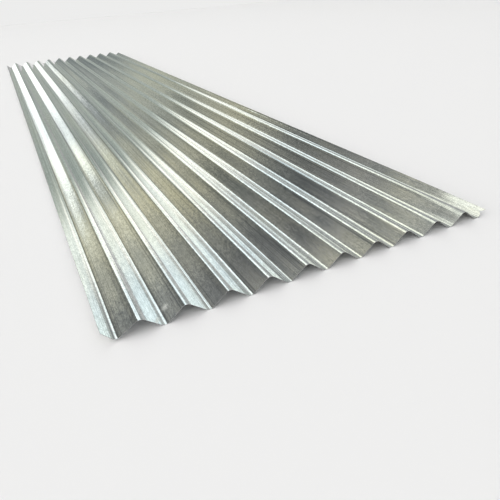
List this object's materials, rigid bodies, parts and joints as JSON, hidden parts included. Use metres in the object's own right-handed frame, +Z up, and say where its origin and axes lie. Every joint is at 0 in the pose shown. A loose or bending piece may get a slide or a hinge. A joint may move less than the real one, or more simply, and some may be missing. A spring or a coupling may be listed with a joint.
{
  "type": "corrugated metal sheet",
  "caption": "Roll-formed corrugated sheet of galvanised steel with rounded waves and two upturned lap edges, for roofs and walls.",
  "frame": {"origin": "middle of the footprint, on the undersides of the valleys", "axes": "+X across the corrugations, +Y along them, +Z up out of the crests"},
  "size_m": [0.7196, 3.048, 0.0222],
  "materials": {
    "galvanised_steel": "hot-dip galvanised, bright, with a fine spangle"
  },
  "bodies": {
    "root": {"corrugated_sheet": "galvanised_steel"}
  },
  "joints": []
}
